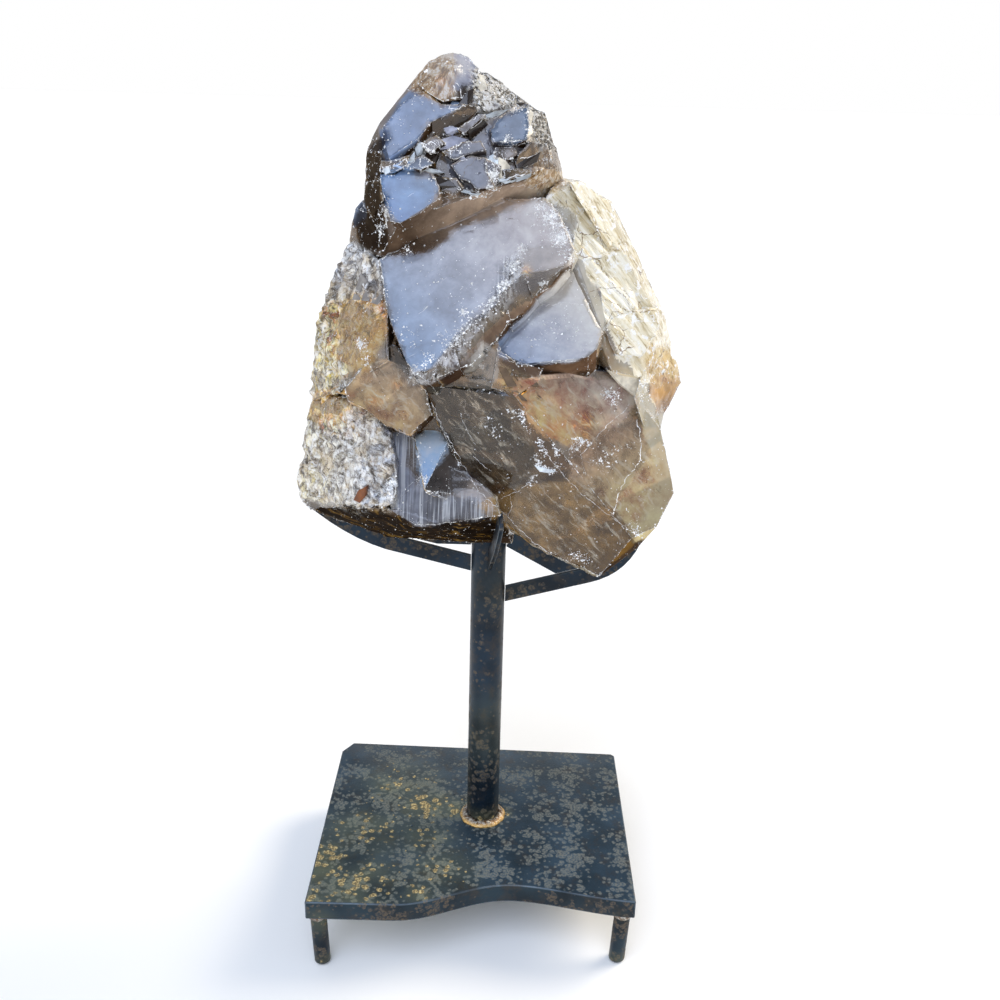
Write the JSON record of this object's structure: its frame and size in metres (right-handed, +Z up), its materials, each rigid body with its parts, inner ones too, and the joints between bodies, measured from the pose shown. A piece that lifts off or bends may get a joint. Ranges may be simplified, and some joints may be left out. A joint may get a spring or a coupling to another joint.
{
  "type": "smoky quartz crystal cluster on a welded steel stand",
  "caption": "Large smoky quartz cluster with stepped faces, held in a cradle of bent flat bars on a round post, base plate and short legs.",
  "frame": {"origin": "middle of the footprint, on the ground under the legs' feet", "axes": "+Z up along the post; -Y towards the side with the wavy plate edge and the bright crystal faces; +X to the right of someone looking at that side"},
  "size_m": [0.283, 0.2304, 0.6688],
  "materials": {
    "smoky_quartz": "natural crystal faces, clear to cloudy, with rough crusted patches",
    "blackened_steel": "hot-rolled steel, blackened, with mottled oxide and rust spots",
    "weld_metal": "unground weld bead, straw and brown heat colours"
  },
  "bodies": {
    "root": {"crystal": "smoky_quartz", "base_plate": "blackened_steel", "post": "blackened_steel", "foot_weld": "weld_metal", "leg_front_left": "blackened_steel", "leg_front_right": "blackened_steel", "leg_back_left": "blackened_steel", "leg_back_right": "blackened_steel", "arm_left": "blackened_steel", "arm_right": "blackened_steel", "arm_front": "blackened_steel", "arm_back": "blackened_steel", "brace_left": "blackened_steel", "brace_right": "blackened_steel"}
  },
  "joints": []
}
